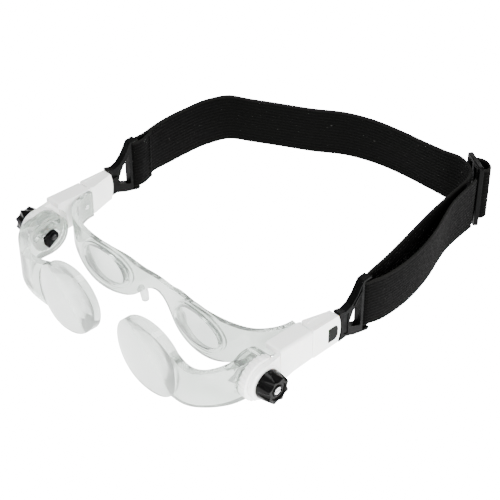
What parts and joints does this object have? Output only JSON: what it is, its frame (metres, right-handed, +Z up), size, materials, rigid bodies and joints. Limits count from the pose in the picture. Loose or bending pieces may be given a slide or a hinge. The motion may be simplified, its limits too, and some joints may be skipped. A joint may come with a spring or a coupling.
{
  "type": "head visor magnifier",
  "caption": "Head-worn Galilean magnifier: clear spectacle frame, sliding front lenses set by side knobs, white temples and a black elastic headband.",
  "frame": {"origin": "centre of the bounding box at its lowest level, the level of the lens rims and the headband's lower edge", "axes": "+Y from the lenses to the back of the headband, +X to the wearer's left, +Z up"},
  "size_m": [0.1898, 0.2261, 0.0473],
  "materials": {
    "clear_frame": "polished clear acrylic",
    "clear_carrier": "polished clear acrylic",
    "clear_lens": "polished optical acrylic",
    "clear_soft": "translucent soft silicone",
    "white_shell": "glossy moulded white plastic",
    "white_ring": "satin moulded white plastic",
    "black_knob": "glossy moulded black plastic",
    "black_clip": "semi-gloss moulded black plastic",
    "black_plate": "matt black plastic",
    "button_black": "satin black plastic",
    "screw_steel": "bright zinc-plated steel",
    "dark_screw": "black oxide steel",
    "pin_steel": "ground steel",
    "washer_rubber": "matt",
    "webbing": "knitted ribbed elastic",
    "thread": "spun polyester thread"
  },
  "bodies": {
    "root": {"ocular_frame": "clear_frame", "left_eyepiece_lens": "clear_lens", "left_nose_pad": "clear_soft", "left_housing_shell": "white_shell", "left_housing_cover": "white_shell", "left_frame_screw": "screw_steel", "left_hinge_pin": "pin_steel", "right_eyepiece_lens": "clear_lens", "right_nose_pad": "clear_soft", "right_housing_shell": "white_shell", "right_housing_cover": "white_shell", "right_frame_screw": "screw_steel", "right_hinge_pin": "pin_steel", "strap_band": "webbing", "strap_return": "webbing"},
    "left_focus": {"left_focus_knob": "black_knob", "left_knob_shaft": "pin_steel", "left_knob_screw": "screw_steel", "left_knob_washer": "washer_rubber", "left_toothed_ring": "white_ring", "left_cam_plate": "black_plate", "left_cam_screw": "dark_screw"},
    "left_carrier": {"left_lens_carrier": "clear_carrier", "left_objective_lens": "clear_lens"},
    "left_temple": {"left_temple_sleeve": "white_shell", "left_strap_clip": "black_clip", "strap_left_loop": "webbing"},
    "left_button": {"left_release_button": "button_black"},
    "right_focus": {"right_focus_knob": "black_knob", "right_knob_shaft": "pin_steel", "right_knob_screw": "screw_steel", "right_knob_washer": "washer_rubber", "right_toothed_ring": "white_ring", "right_cam_plate": "black_plate", "right_cam_screw": "dark_screw"},
    "right_carrier": {"right_lens_carrier": "clear_carrier", "right_objective_lens": "clear_lens"},
    "right_temple": {"right_temple_sleeve": "white_shell", "right_strap_clip": "black_clip", "strap_right_end": "webbing", "strap_stitching": "thread"},
    "right_button": {"right_release_button": "button_black"},
    "slider": {"strap_slider": "black_clip", "strap_bight": "webbing"}
  },
  "joints": [
    {"name": "left_focus_turn", "type": "hinge", "parent": "root", "child": "left_focus", "pos_m": [0.08345, -0.087, 0.0234], "axis": [1, 0, 0], "range_deg": [-45, 45]},
    {"name": "left_lens_slide", "type": "slide", "parent": "root", "child": "left_carrier", "axis": [0, 1, 0], "range_m": [-0.003, 0.003]},
    {"name": "left_temple_fold", "type": "hinge", "parent": "root", "child": "left_temple", "pos_m": [0.07905, -0.05805, 0.0275], "axis": [0, 0, 1], "range_deg": [0, 20]},
    {"name": "left_button_press", "type": "slide", "parent": "left_temple", "child": "left_button", "axis": [-1, 0, 0], "range_m": [0, 0.0012], "stiffness_N_per_m": 800, "springref_m": -0.001},
    {"name": "right_focus_turn", "type": "hinge", "parent": "root", "child": "right_focus", "pos_m": [-0.07655, -0.087, 0.0234], "axis": [1, 0, 0], "range_deg": [-45, 45]},
    {"name": "right_lens_slide", "type": "slide", "parent": "root", "child": "right_carrier", "axis": [0, 1, 0], "range_m": [-0.003, 0.003]},
    {"name": "right_temple_fold", "type": "hinge", "parent": "root", "child": "right_temple", "pos_m": [-0.07215, -0.05805, 0.0275], "axis": [0, 0, -1], "range_deg": [0, 20]},
    {"name": "right_button_press", "type": "slide", "parent": "right_temple", "child": "right_button", "axis": [1, 0, 0], "range_m": [0, 0.0012], "stiffness_N_per_m": 800, "springref_m": -0.001},
    {"name": "strap_slide", "type": "slide", "parent": "root", "child": "slider", "axis": [-0.8601, 0.5101, 0], "range_m": [-0.006, 0.006]}
  ],
  "couplings": [
    {"joint": "left_focus_turn", "follows": "left_lens_slide", "rad_per_m": 261.8},
    {"joint": "right_focus_turn", "follows": "right_lens_slide", "rad_per_m": 261.8}
  ]
}
